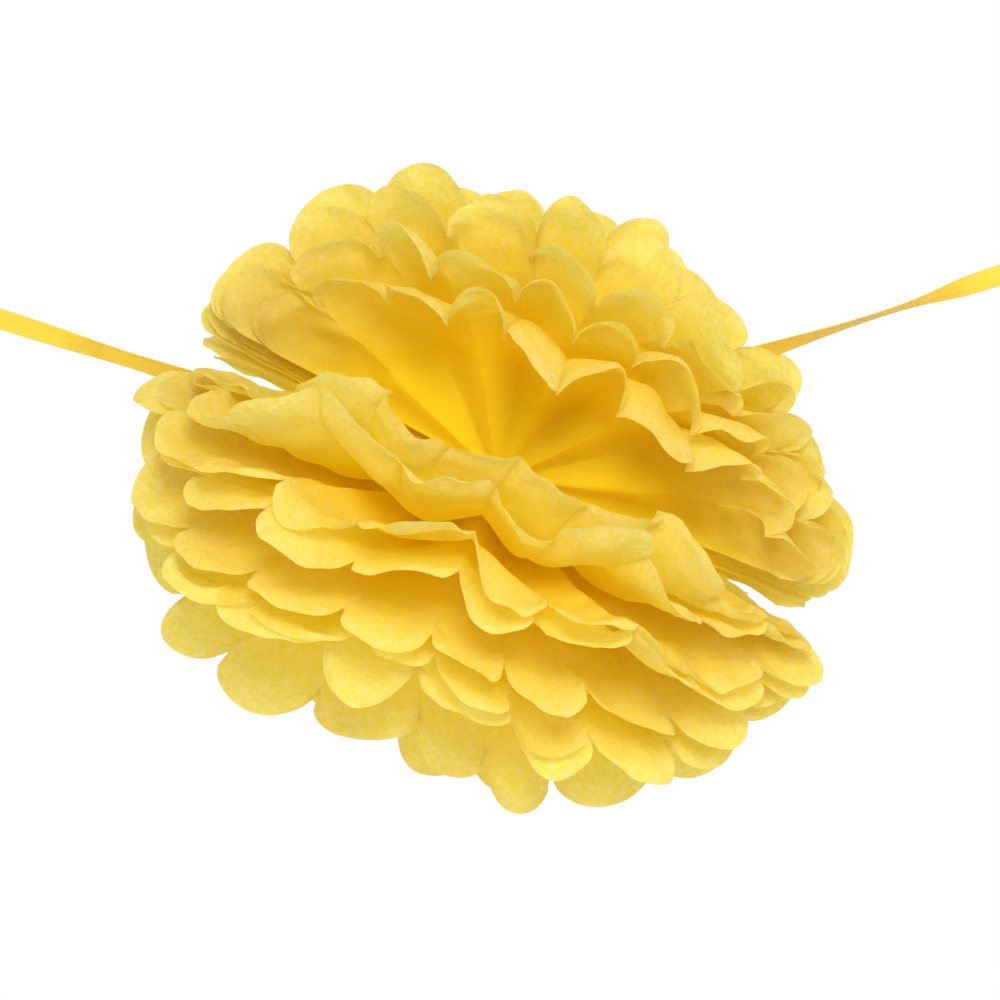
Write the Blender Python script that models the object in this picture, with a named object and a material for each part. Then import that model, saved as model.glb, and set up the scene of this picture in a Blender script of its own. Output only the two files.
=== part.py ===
"""A pom pom of folded tissue paper, hanging from a flat ribbon.

Each sheet of tissue is pleated into a strip, its two ends are cut round and a wire ties the
stack of strips at the middle. Both halves of every sheet are then fanned out and pulled apart
like the pages of a book, into layers of petals. The ribbon passes through the stack beside the
wire, between the two middle sheets, and ends in a loop on each side.

The origin is at the wire, where the ribbon carries the pom pom. Z is up, X runs to the right
along the ribbon, and the pom pom's own axis leans to the front (-Y) and to the right.
"""

import math
import random

import bmesh
import bpy
import numpy as np
from mathutils import Matrix, Vector

# Driving sizes, in metres.
PETAL_NOTCH = 0.014
INNER_PLEAT = 0.0042
OUTER_PLEAT = 0.0045
PETAL_CUP = 0.0025
TISSUE = 0.0003
SHEET_GAP = 0.0003
NEST_GAP = 0.0026
WAIST_WIDTH = 0.010
WAIST_DEPTH = 0.0020
WAIST_SPLAY = 0.0003
WIRE_RADIUS = 0.0004
WIRE_GAP = 0.0003
RIBBON_WIDTH = 0.007
RIBBON_WAIST = 0.0025
RIBBON_THICK = 0.0003
RIBBON_ROOM = 0.0040
RIBBON_GAP = 0.0008
RIBBON_DIP = 0.0013
THREAD = 0.0006
THREAD_LENGTH = 0.0024
LOOP_LENGTH = 0.029
LOOP_WIDTH = 0.014
SEAM_LENGTH = 0.010
LEFT_END = Vector((-0.191, 0.0, 0.0625))
RIGHT_END = Vector((0.193, 0.0, 0.0780))

# Driving angles, in degrees.
AXIS_LEAN = 60.0
AXIS_ROLL = 24.0
SLIT_ANGLE = 5.0
LIFT_SPREAD = 3.0
CURL_SPREAD = 6.0

# Counts. A panel is the strip of tissue between two folds, and ends in one petal on each half.
PANELS = 10
COLUMNS_PER_PANEL = 3
RINGS = 3
SEED = 7
# How much petal widths differ within a sheet, and from one sheet to the next.
WIDTH_SPREAD = 0.15
OWN_WIDTH = 0.2

# How far each sheet's front half is lifted from the waist plane, in degrees, from the lowest sheet
# to the highest, at every 45 degrees from the right side to the left side.
FRONT_LIFT = (
    (-84, -70, -58, -72, -86),
    (-72, -50, -36, -54, -76),
    (-58, -28, -16, -32, -66),
    (-40, 2, 13, 0, -56),
    (-22, 8, 19, 7, -46),
    (-4, 15, 25, 15, -8),
    (12, 39, 46, 38, 10),
    (22, 45, 51, 44, 19),
    (36, 60, 65, 59, 30),
    (46, 67, 71, 66, 40),
)
# The same for the back halves.
BACK_LIFT = (
    (-68, -62, -58, -60, -62),
    (-50, -44, -42, -43, -45),
    (-30, -25, -24, -26, -28),
    (-12, -5, -4, -8, -12),
    (6, 22, 16, 9, 4),
    (34, 62, 42, 24, 18),
    (44, 69, 57, 38, 28),
    (54, 76, 71, 53, 40),
    (64, 84, 85, 69, 52),
    (74, 93, 98, 85, 64),
)
LIFTS = np.array((FRONT_LIFT, BACK_LIFT), float)
# How far the front and the back halves reach from the waist, in metres, at every 45 degrees from
# the right side to the left side.
REACHES = np.array(
    (
        (0.128, 0.122, 0.107, 0.128, 0.119),
        (0.127, 0.111, 0.103, 0.110, 0.119),
    )
)
# How far the tips of each sheet's petals relax back towards the waist plane, in degrees.
TIP_CURL = np.array((6, 6, 5, 4, 2, -2, -4, -6, -6, -3), float)
SHEETS = len(FRONT_LIFT)
UPPER = SHEETS // 2
# Each sheet's reach as a share of the full one. The end sheets stand up most and reach least.
SHEET_REACH = np.array((0.9, 0.95, 0.98, 1.0, 1.0, 1.0, 1.0, 0.98, 0.94, 0.89))
# Share of its final rise that a sheet has where it leaves the waist.
ROOT_RISE = 0.35
RISE_POWER = 1.15
# The sheets run straight from the waist to this share of their reach, and curve from there.
STRAIGHT_SHARE = 0.39
# Where the ribbon leaves, in degrees from the right side: on the right between back halves, and on
# the left between front halves.
RIGHT_WAY = 54.0
LEFT_WAY = 176.0

# Derived sizes.
FRONT, BACK = 0, 1
SLIT = math.radians(SLIT_ANGLE)
# Closer to the sides than this sine, folds and gaps narrow with the paper.
SIDE_SINE = 0.42
SHEET_PITCH = TISSUE + SHEET_GAP
RIBBON_SLOT = RIBBON_THICK + 2 * RIBBON_GAP + TISSUE
STACK_HALF = RIBBON_SLOT / 2 + (UPPER - 1) * SHEET_PITCH + TISSUE / 2

TISSUE_COLOUR = (0.90, 0.62, 0.045, 1.0)
RIBBON_COLOUR = (0.85, 0.50, 0.012, 1.0)
WIRE_COLOUR = (0.80, 0.55, 0.08, 1.0)


def clear_scene():
    for old in list(bpy.data.objects):
        bpy.data.objects.remove(old, do_unlink=True)


def material(name, colour, roughness):
    made = bpy.data.materials.new(name)
    made.use_nodes = True
    made.diffuse_color = colour
    shader = made.node_tree.nodes["Principled BSDF"]
    shader.inputs["Base Color"].default_value = colour
    shader.inputs["Roughness"].default_value = roughness
    return made


def axis_frame():
    """The turn from the pom pom's own frame, whose Z is its axis, to the hanging one."""
    lean = math.radians(AXIS_LEAN)
    roll = math.radians(AXIS_ROLL)
    along = Vector((math.cos(roll), 0.0, -math.sin(roll)))
    across = Vector((math.sin(roll), 0.0, math.cos(roll)))
    front = Vector((0.0, -1.0, 0.0))
    back = math.sin(lean) * across - math.cos(lean) * front
    axis = math.cos(lean) * across + math.sin(lean) * front
    return Matrix((along, back, axis)).transposed()


def petal_values(low, high, salt):
    """One value for each petal of each half of each sheet, the same ones every time."""
    draw = random.Random(SEED + salt)
    count = 2 * SHEETS * PANELS
    return np.array([draw.uniform(low, high) for _ in range(count)]).reshape(2, SHEETS, PANELS)


def petal_edges(widths):
    """Each petal's two edges, as angles from the right side."""
    edges = np.cumsum(np.insert(widths, 0, 0.0, axis=-1), axis=-1)
    return SLIT + edges / edges[..., -1:] * (math.pi - 2 * SLIT)


LIFT = petal_values(-LIFT_SPREAD, LIFT_SPREAD, 1)
REACH = petal_values(0.94, 1.03, 2)
WIDTH = petal_values(1 - WIDTH_SPREAD, 1 + WIDTH_SPREAD, 3)
CURL = petal_values(-CURL_SPREAD, CURL_SPREAD, 4)
# The folds that all sheets share at the waist, and each sheet's own ones at its petal tips.
FOLDS = petal_edges(WIDTH[:, 0])
EDGES = petal_edges(WIDTH[:, :1] * petal_values(1 - OWN_WIDTH, 1 + OWN_WIDTH, 5))
PLACES = np.arange(PANELS + 1)


def fold_angle(half, sheet, place, s):
    """The angle, from the right side, of a place counted in petals along a sheet's half."""
    shared = np.interp(place, PLACES, FOLDS[half])
    return shared + (np.interp(place, PLACES, EDGES[half, sheet]) - shared) * s**2


def between_petals(values, place):
    """Values at a place, counted in petals, smooth from each petal's middle to the next."""
    at = np.clip(place - 0.5, 0.0, PANELS - 1.0)
    first = np.minimum(np.floor(at).astype(int), PANELS - 2)
    part = at - first
    part = part * part * (3 - 2 * part)
    return values[first] * (1 - part) + values[first + 1] * part


def zigzag(turns):
    """From -1 to 1 and back, once for every two folds."""
    return 1 - 2 * np.abs(turns % 2.0 - 1)


def through_stops(rows, angle):
    """Values at an angle on smooth curves through rows of stops that are 45 degrees apart."""
    stops = np.pad(rows, ((0, 0), (1, 1)), mode="edge")
    at = np.clip(angle / np.pi * 4, 0, 4 - 1e-9)
    first = np.floor(at).astype(int)
    f = at - first
    a, b, c, d = (stops[:, first + step] for step in range(4))
    return b + 0.5 * f * (c - a + f * (2 * a - 5 * b + 4 * c - d + f * (3 * (b - c) + d - a)))


def full_reach(half, angle):
    """How far the paper that runs out at an angle from the right side reaches from the waist."""
    return through_stops(REACHES[half : half + 1], angle)[0]


def reach_at(half, sheet, place, angle, s):
    """Distance from the waist at share s of the way out to a sheet's petal tips."""
    lobe = 1 - np.sqrt(np.clip(1 - (2 * (place % 1.0) - 1) ** 2, 0, 1))
    tips = SHEET_REACH[sheet] * between_petals(REACH[half, sheet], place)
    tips = 1 + (tips - 1) * s**3
    return full_reach(half, angle) * s * tips - PETAL_NOTCH * lobe * s**5


def lifts(half, angle, s):
    """The lift of every sheet above the waist plane, in radians, and that of the ribbon."""
    s = np.maximum(s, STRAIGHT_SHARE)
    out = full_reach(half, angle) * s
    arm = out * np.maximum(np.sin(angle), SIDE_SINE)
    grown = ROOT_RISE + (1 - ROOT_RISE) * s**RISE_POWER
    plain = np.radians(through_stops(LIFTS[half], angle)) * grown
    shared = np.interp(angle, FOLDS[half], PLACES)
    inner = INNER_PLEAT * np.sin(np.pi * np.clip(s / 0.8, 0, 1)) / arm * zigzag(shared)
    middle = (plain[UPPER - 1] + plain[UPPER]) / 2 + inner
    own = []
    for sheet in range(SHEETS):
        place = shared + (np.interp(angle, EDGES[half, sheet], PLACES) - shared) * s**2
        outer = OUTER_PLEAT * s**2 / arm * zigzag(place)
        cup = PETAL_CUP * s**2 / arm * (1 - (2 * (place % 1.0) - 1) ** 2)
        lift = np.radians(between_petals(LIFT[half, sheet], place)) * s**2
        curl = TIP_CURL[sheet] + between_petals(CURL[half, sheet], place)
        curl = np.radians(curl) * np.clip((s - 0.6) / 0.4, 0, 1) ** 2
        own.append(plain[sheet] + inner + outer - cup + lift + curl)
    room = RIBBON_ROOM / arm
    nest = NEST_GAP / arm
    own[UPPER] = np.maximum(own[UPPER], middle + room)
    own[UPPER - 1] = np.minimum(own[UPPER - 1], middle - room)
    for upper in range(UPPER + 1, SHEETS):
        own[upper] = np.maximum(own[upper], own[upper - 1] + nest)
    for lower in range(UPPER - 2, -1, -1):
        own[lower] = np.minimum(own[lower], own[lower + 1] - nest)
    return own, middle


def waist_edge(sheet):
    """A sheet's middle where it leaves the waist band: its distance from the axis, and its height.

    The band is narrowest on the end sheets, which rise most steeply from it.
    """
    from_middle = sheet - UPPER + 0.5
    depth = WAIST_DEPTH / 2 + WAIST_SPLAY * (UPPER - 0.5 - abs(from_middle))
    height = RIBBON_SLOT / 2 + (abs(from_middle) - 0.5) * SHEET_PITCH
    return depth, math.copysign(height, from_middle)


def spread_point(half, angle, out, lift, edge, proud):
    """Points at a distance out from the waist, in the pom pom's frame, proud square to the paper.

    The angle runs from the right side round to the left, in the half's own plane.
    """
    side = 1 if half == BACK else -1
    turned = np.where(out > 0, lift, 0.0)
    x = WAIST_WIDTH / 2 * (1 - 2 * angle / np.pi) + out * np.cos(angle)
    arm = out * np.sin(angle)
    y = side * (edge[0] + arm * np.cos(lift) - proud * np.sin(turned))
    z = edge[1] + arm * np.sin(lift) + proud * np.cos(turned)
    return np.stack([x, y, z], axis=1)


def flat_sheet():
    """A flat sheet of tissue: X across the panels from -1 to 1, Y along them, Z its thickness."""
    bm = bmesh.new()
    rows = 2 * RINGS + 1
    bmesh.ops.create_grid(bm, x_segments=PANELS * COLUMNS_PER_PANEL, y_segments=rows, size=1.0)
    for vertex in bm.verts:
        vertex.co.z = -TISSUE / 2
    raised = bmesh.ops.extrude_face_region(bm, geom=bm.faces[:])
    for item in raised["geom"]:
        if isinstance(item, bmesh.types.BMVert):
            item.co.z = TISSUE / 2
    bmesh.ops.recalc_face_normals(bm, faces=bm.faces[:])
    return bm


def fold_sheet(sheet):
    """Pleats, ties and spreads one flat sheet, and returns its mesh."""
    bm = flat_sheet()
    flat = np.array([vertex.co[:] for vertex in bm.verts])
    rows = 2 * RINGS + 1
    s = np.clip((np.abs(flat[:, 1]) * rows - 1) / (rows - 1), 0, 1) ** 0.85
    place = (1 - flat[:, 0]) / 2 * PANELS
    spread = np.empty_like(flat)
    for half in (FRONT, BACK):
        own = flat[:, 1] > 0 if half == BACK else flat[:, 1] < 0
        angle = fold_angle(half, sheet, place[own], s[own])
        lift = lifts(half, angle, s[own])[0][sheet]
        out = reach_at(half, sheet, place[own], angle, s[own])
        spread[own] = spread_point(half, angle, out, lift, waist_edge(sheet), flat[own, 2])
    for vertex, co in zip(bm.verts, spread):
        vertex.co = co
    mesh = bpy.data.meshes.new(f"tissue_sheet_{sheet + 1:02d}")
    bm.to_mesh(mesh)
    bm.free()
    return mesh


def add_object(name, data, finish, parent=None):
    made = bpy.data.objects.new(name, data)
    made.data.materials.append(finish)
    bpy.data.collections["tissue_pom_pom"].objects.link(made)
    made.parent = parent
    return made


def thread_ring(name, centre, side, up, half_side, half_up, radius):
    """A closed ring of wire or thread around a bundle: a rectangle with rounded corners."""
    corner = 3 * radius
    points = []
    for quarter in range(4):
        sign_side = 1 if quarter in (0, 3) else -1
        sign_up = 1 if quarter in (0, 1) else -1
        for step in range(4):
            angle = math.radians(90 * quarter + 30 * step)
            across = sign_side * (half_side - corner) + corner * math.cos(angle)
            above = sign_up * (half_up - corner) + corner * math.sin(angle)
            points.append(centre + across * side + above * up)
    curve = bpy.data.curves.new(name, "CURVE")
    curve.dimensions = "3D"
    curve.bevel_depth = radius
    curve.bevel_resolution = 1
    spline = curve.splines.new("POLY")
    spline.points.add(len(points) - 1)
    for held, co in zip(spline.points, points):
        held.co = (*co, 1.0)
    spline.use_cyclic_u = True
    return curve


def thread_band(name, centre, side, up, along, half_side, half_up, length):
    """Turns of thread round a flat bundle as one closed band: a rectangle with cut corners."""
    bm = bmesh.new()
    rings = []
    for out, end in ((0.0, -1), (THREAD, -1), (THREAD, 1), (0.0, 1)):
        cut = THREAD / 2 + 0.6 * out
        wide, high = half_side + out, half_up + out
        corners = [(wide, high - cut), (wide - cut, high), (cut - wide, high), (-wide, high - cut)]
        corners += [(-across, -above) for across, above in corners]
        place = centre + end * length / 2 * along
        rings.append([bm.verts.new(place + a * side + b * up) for a, b in corners])
    for first, second in zip(rings, rings[1:] + rings[:1]):
        for at in range(len(first)):
            after = (at + 1) % len(first)
            bm.faces.new((first[at], first[after], second[after], second[at]))
    bmesh.ops.recalc_face_normals(bm, faces=bm.faces[:])
    mesh = bpy.data.meshes.new(name)
    bm.to_mesh(mesh)
    bm.free()
    return mesh


def ribbon_inside(half, way, share, turn):
    """A point of the ribbon's middle line between the two middle sheets, and its width axis."""
    near = np.radians(way + np.array([-2.0, 0.0, 2.0]))
    middle = lifts(half, near, np.full(3, share))[1]
    edge = waist_edge(UPPER)[0], -RIBBON_DIP * max(0.0, 1 - share / 0.2)
    row = spread_point(half, near, full_reach(half, near) * share, middle, edge, np.zeros(3))
    points = [turn @ Vector(co) for co in row]
    return points[1], (points[2] - points[0]).normalized()


def smooth_route(stops, steps):
    """Points on a smooth curve through the stops, each a point, a width axis and a width."""
    rows = np.array([(*point, *axis, width) for point, axis, width in stops])
    ends = np.vstack([2 * rows[0] - rows[1], rows, 2 * rows[-1] - rows[-2]])
    found = []
    for first in range(len(rows) - 1):
        a, b, c, d = ends[first : first + 4]
        for step in range(steps):
            f = step / steps
            found.append(
                b + 0.5 * f * (c - a + f * (2 * a - 5 * b + 4 * c - d + f * (3 * (b - c) + d - a)))
            )
    found.append(rows[-1])
    return [(Vector(r[:3]), Vector(r[3:6]).normalized(), float(r[6])) for r in found]


def end_loop(end, outward, upright):
    """The stops of a loop beyond a ribbon end, from the free tip round to the ribbon itself."""
    side = outward.cross(upright).normalized()
    apart = RIBBON_THICK + SHEET_GAP
    seam = SEAM_LENGTH / 2
    shape = [
        (-seam, apart),
        (seam, apart),
        (0.40 * LOOP_LENGTH + seam, apart + 0.34 * LOOP_WIDTH),
        (0.72 * LOOP_LENGTH + seam, apart + 0.46 * LOOP_WIDTH),
        (0.93 * LOOP_LENGTH + seam, apart + 0.26 * LOOP_WIDTH),
        (LOOP_LENGTH + seam, 0.0),
        (0.93 * LOOP_LENGTH + seam, -0.26 * LOOP_WIDTH),
        (0.72 * LOOP_LENGTH + seam, -0.46 * LOOP_WIDTH),
        (0.40 * LOOP_LENGTH + seam, -0.34 * LOOP_WIDTH),
        (seam, 0.0),
    ]
    return [(end + out * outward + off * side, upright, RIBBON_WIDTH) for out, off in shape]


def ribbon_stops(turn):
    """The ribbon's whole route, from the left loop through the pom pom to the right loop."""
    left_edge = ribbon_inside(FRONT, LEFT_WAY, 0.62, turn)[0]
    right_edge = ribbon_inside(BACK, RIGHT_WAY, 0.62, turn)[0]
    left_out = (LEFT_END - left_edge).normalized()
    right_out = (RIGHT_END - right_edge).normalized()
    front = Vector((0.0, -1.0, 0.0))
    left_up = front.cross(left_out).normalized() * -1
    right_up = front.cross(right_out).normalized()
    stops = end_loop(LEFT_END, left_out, left_up)
    stops.append((LEFT_END - 0.02 * left_out, left_up, RIBBON_WIDTH))
    halfway = LEFT_END.lerp(left_edge, 0.55)
    stops.append((halfway, (left_up + 0.9 * front).normalized(), RIBBON_WIDTH))
    for share, width in ((0.62, 1.0), (0.48, 1.0), (0.34, 0.9), (0.21, 0.6), (0.13, 0.4)):
        point, axis = ribbon_inside(FRONT, LEFT_WAY, share, turn)
        if axis.dot(left_up) < 0:
            axis.negate()
        stops.append((point, axis, max(RIBBON_WAIST, width * RIBBON_WIDTH)))
    legs = WAIST_WIDTH / 2 + WIRE_GAP + WIRE_RADIUS
    beside = RIBBON_WAIST / 2 + WIRE_GAP + WIRE_RADIUS + 0.0001
    across = turn @ Vector((0.0, 1.0, 0.0))
    if across.dot(left_up) < 0:
        across.negate()
    stops.append((turn @ Vector((-legs, -beside, 0.0)), across, RIBBON_WAIST))
    stops.append((Vector(), across, RIBBON_WAIST))
    for share, width in ((0.06, 0.36), (0.14, 0.5), (0.24, 0.75), (0.36, 1.0), (0.49, 1.0), (0.62, 1.0)):
        point, axis = ribbon_inside(BACK, RIGHT_WAY, share, turn)
        if axis.dot(right_up) < 0:
            axis.negate()
        stops.append((point, axis, max(RIBBON_WAIST, width * RIBBON_WIDTH)))
    halfway = RIGHT_END.lerp(right_edge, 0.45)
    stops.append((halfway, (0.25 * right_up + front).normalized(), RIBBON_WIDTH))
    stops.append((RIGHT_END - 0.02 * right_out, right_up, RIBBON_WIDTH))
    stops += reversed(end_loop(RIGHT_END, right_out, right_up))
    rings = [(LEFT_END, left_out, left_up), (RIGHT_END, right_out, right_up)]
    return stops, rings


def ribbon_mesh(route):
    """A flat strip along the route, closed all round."""
    bm = bmesh.new()
    rings = []
    for at, (point, axis, width) in enumerate(route):
        before = route[max(at - 1, 0)][0]
        after = route[min(at + 1, len(route) - 1)][0]
        forward = (after - before).normalized()
        wide = (axis - axis.dot(forward) * forward).normalized()
        thin = forward.cross(wide)
        corners = [(1, 1), (-1, 1), (-1, -1), (1, -1)]
        rings.append(
            [
                bm.verts.new(point + a * width / 2 * wide + b * RIBBON_THICK / 2 * thin)
                for a, b in corners
            ]
        )
    for first, second in zip(rings, rings[1:]):
        # Both broad sides are split the same way, so that a twist never brings them together.
        bm.faces.new((first[0], first[1], second[1]))
        bm.faces.new((first[0], second[1], second[0]))
        bm.faces.new((first[2], first[3], second[2]))
        bm.faces.new((first[3], second[3], second[2]))
        bm.faces.new((first[1], first[2], second[2], second[1]))
        bm.faces.new((first[3], first[0], second[0], second[3]))
    bm.faces.new(rings[0])
    bm.faces.new(reversed(rings[-1]))
    bmesh.ops.recalc_face_normals(bm, faces=bm.faces[:])
    mesh = bpy.data.meshes.new("ribbon")
    bm.to_mesh(mesh)
    bm.free()
    return mesh


def build_sheets(parent):
    tissue = material("yellow_tissue", TISSUE_COLOUR, 0.85)
    for sheet in range(SHEETS):
        add_object(f"tissue_sheet_{sheet + 1:02d}", fold_sheet(sheet), tissue, parent)


def build_wire(parent):
    finish = material("yellow_wire", WIRE_COLOUR, 0.5)
    legs = WAIST_WIDTH / 2 + WIRE_GAP + WIRE_RADIUS
    height = STACK_HALF + WIRE_GAP + WIRE_RADIUS
    side = Vector((1.0, 0.0, 0.0))
    up = Vector((0.0, 0.0, 1.0))
    ring = thread_ring("waist_wire", Vector(), side, up, legs, height, WIRE_RADIUS)
    add_object("waist_wire", ring, finish, parent)


def build_ribbon(turn):
    finish = material("yellow_ribbon", RIBBON_COLOUR, 0.6)
    stops, seams = ribbon_stops(turn)
    add_object("ribbon", ribbon_mesh(smooth_route(stops, 4)), finish)
    thread = material("yellow_thread", RIBBON_COLOUR, 0.7)
    for name, (end, outward, upright) in zip(("left", "right"), seams):
        side = outward.cross(upright).normalized()
        apart = RIBBON_THICK + SHEET_GAP
        half_up = RIBBON_WIDTH / 2 + SHEET_GAP
        half_side = (apart + RIBBON_THICK) / 2 + SHEET_GAP
        middle = end + apart / 2 * side
        band = thread_band(
            name, middle, side, upright, outward, half_side, half_up, THREAD_LENGTH
        )
        add_object(f"{name}_loop_thread", band, thread)


def main():
    clear_scene()
    parts = bpy.data.collections.new("tissue_pom_pom")
    bpy.context.scene.collection.children.link(parts)
    turn = axis_frame()
    pom_axis = bpy.data.objects.new("pom_pom_axis", None)
    pom_axis.matrix_world = turn.to_4x4()
    parts.objects.link(pom_axis)
    build_sheets(pom_axis)
    build_wire(pom_axis)
    build_ribbon(turn)


main()
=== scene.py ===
"""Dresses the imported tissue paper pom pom.

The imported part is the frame. Each coarse tissue sheet is replaced by a fine one, pleated by the
same rule with the same sizes, and the ribbon, its thread windings and the waist wire are replaced
by finished ones. Everything is in metres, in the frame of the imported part: Z up, X to the right
along the ribbon, and the origin at the waist wire.
"""

import math
import random

import bmesh
import bpy
import numpy as np
from bpy.props import FloatProperty, IntProperty, PointerProperty, StringProperty
from mathutils import Matrix, Vector


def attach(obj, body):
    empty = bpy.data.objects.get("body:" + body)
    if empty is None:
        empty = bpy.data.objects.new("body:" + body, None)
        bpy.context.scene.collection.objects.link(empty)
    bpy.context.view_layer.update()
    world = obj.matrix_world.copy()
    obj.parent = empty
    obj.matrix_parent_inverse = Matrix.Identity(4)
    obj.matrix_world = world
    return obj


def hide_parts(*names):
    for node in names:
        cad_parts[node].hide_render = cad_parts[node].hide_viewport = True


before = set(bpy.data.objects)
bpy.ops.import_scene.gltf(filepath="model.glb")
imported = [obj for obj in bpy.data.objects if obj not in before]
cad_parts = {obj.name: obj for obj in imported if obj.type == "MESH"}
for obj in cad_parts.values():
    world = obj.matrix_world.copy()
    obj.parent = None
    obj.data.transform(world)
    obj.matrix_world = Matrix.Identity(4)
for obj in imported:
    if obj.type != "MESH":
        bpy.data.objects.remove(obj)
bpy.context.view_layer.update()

bl_info = {
    "name": "Tissue Paper Pom Pom",
    "version": (1, 0, 0),
    "blender": (4, 5, 0),
    "location": "View3D > Sidebar > Pom Pom",
    "description": "A hanging pom pom of pleated tissue paper sheets on a flat ribbon",
    "category": "Add Mesh",
}

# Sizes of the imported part, in metres. The fine pieces lie where its solids are.
PETAL_NOTCH = 0.014
INNER_PLEAT = 0.0042
OUTER_PLEAT = 0.0045
PETAL_CUP = 0.0025
TISSUE = 0.0003
SHEET_GAP = 0.0003
NEST_GAP = 0.0026
WAIST_WIDTH = 0.010
WAIST_DEPTH = 0.0020
WAIST_SPLAY = 0.0003
WIRE_RADIUS = 0.0004
WIRE_GAP = 0.0003
RIBBON_WIDTH = 0.007
RIBBON_WAIST = 0.0025
RIBBON_THICK = 0.0003
RIBBON_ROOM = 0.0040
RIBBON_GAP = 0.0008
RIBBON_DIP = 0.0013
LOOP_LENGTH = 0.029
LOOP_WIDTH = 0.014
SEAM_LENGTH = 0.010
LEFT_END = Vector((-0.191, 0.0, 0.0625))
RIGHT_END = Vector((0.193, 0.0, 0.0780))

# Sizes that only the fine pieces have, in metres.
THREAD_RADIUS = 0.00022
# One petal's width and one sheet's reach on the map of the flat sheet.
MAP_PETAL = 0.040
MAP_REACH = 0.120
# Wave lengths of the flutter, the dents and the cut edges.
FLUTTER_WAVES = (0.34, 0.15)
DENT_WAVE = 0.016
EDGE_WAVE = 0.011
# How far apart the turns of a winding lie, in radii of its strand.
TURN_PITCH = 2.1

# Angles, in degrees.
AXIS_LEAN = 60.0
AXIS_ROLL = 24.0
SLIT_ANGLE = 5.0
LIFT_SPREAD = 3.0
CURL_SPREAD = 6.0

# A panel is the strip of tissue between two folds, and ends in one petal on each half.
PANELS = 10
SEED = 7
# Paper that bends by more than this at an edge, in degrees, shows a fold there.
CREASE_ANGLE = 28.0
# How much petal widths differ within a sheet, and from one sheet to the next.
WIDTH_SPREAD = 0.15
OWN_WIDTH = 0.2

# How far each sheet's front half is lifted from the waist plane, in degrees, from the lowest sheet
# to the highest, at every 45 degrees from the right side to the left side.
FRONT_LIFT = (
    (-84, -70, -58, -72, -86),
    (-72, -50, -36, -54, -76),
    (-58, -28, -16, -32, -66),
    (-40, 2, 13, 0, -56),
    (-22, 8, 19, 7, -46),
    (-4, 15, 25, 15, -8),
    (12, 39, 46, 38, 10),
    (22, 45, 51, 44, 19),
    (36, 60, 65, 59, 30),
    (46, 67, 71, 66, 40),
)
# The same for the back halves.
BACK_LIFT = (
    (-68, -62, -58, -60, -62),
    (-50, -44, -42, -43, -45),
    (-30, -25, -24, -26, -28),
    (-12, -5, -4, -8, -12),
    (6, 22, 16, 9, 4),
    (34, 62, 42, 24, 18),
    (44, 69, 57, 38, 28),
    (54, 76, 71, 53, 40),
    (64, 84, 85, 69, 52),
    (74, 93, 98, 85, 64),
)
LIFTS = np.array((FRONT_LIFT, BACK_LIFT), float)
# How far the front and the back halves reach from the waist, in metres, at every 45 degrees from
# the right side to the left side.
REACHES = np.array(
    (
        (0.128, 0.122, 0.107, 0.128, 0.119),
        (0.127, 0.111, 0.103, 0.110, 0.119),
    )
)
# How far the tips of each sheet's petals relax back towards the waist plane, in degrees.
TIP_CURL = np.array((6, 6, 5, 4, 2, -2, -4, -6, -6, -3), float)
SHEETS = len(FRONT_LIFT)
UPPER = SHEETS // 2
# Each sheet's reach as a share of the full one. The end sheets stand up most and reach least.
SHEET_REACH = np.array((0.9, 0.95, 0.98, 1.0, 1.0, 1.0, 1.0, 0.98, 0.94, 0.89))
# Share of its final rise that a sheet has where it leaves the waist.
ROOT_RISE = 0.35
RISE_POWER = 1.15
# The sheets run straight from the waist to this share of their reach, and curve from there.
STRAIGHT_SHARE = 0.39
# Where the ribbon leaves, in degrees from the right side: on the right between back halves, and on
# the left between front halves.
RIGHT_WAY = 54.0
LEFT_WAY = 176.0

FRONT, BACK = 0, 1
WHITE = (1.0, 1.0, 1.0, 1.0)
SLIT = math.radians(SLIT_ANGLE)
# Closer to the sides than this sine, folds and gaps narrow with the paper.
SIDE_SINE = 0.42
SHEET_PITCH = TISSUE + SHEET_GAP
RIBBON_SLOT = RIBBON_THICK + 2 * RIBBON_GAP + TISSUE
STACK_HALF = RIBBON_SLOT / 2 + (UPPER - 1) * SHEET_PITCH + TISSUE / 2

# The photograph: metres to a pixel at the waist, the waist's pixel and how far away the camera is.
PHOTO_SIDE = 1000
PHOTO_SCALE = 0.25 / 716
WAIST_PIXEL = (497, 482)
CAMERA_DISTANCE = 1.6
SENSOR_WIDTH = 36.0

# Each lamp's place and size, in metres, and the setting that holds its power.
LAMPS = {
    "key_lamp": ((0.1, -1.9, 0.66), 0.7, "key_power"),
    "fill_lamp": ((1.6, -1.2, 0.5), 1.2, "fill_power"),
    "back_lamp": ((0.2, 1.6, 1.3), 1.4, "fill_power"),
}
SQUARE = ((-1, -1), (1, -1), (1, 1), (-1, 1))
FLOOR_HALF = 2.5
FLOOR_HEIGHT = -0.6


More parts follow.
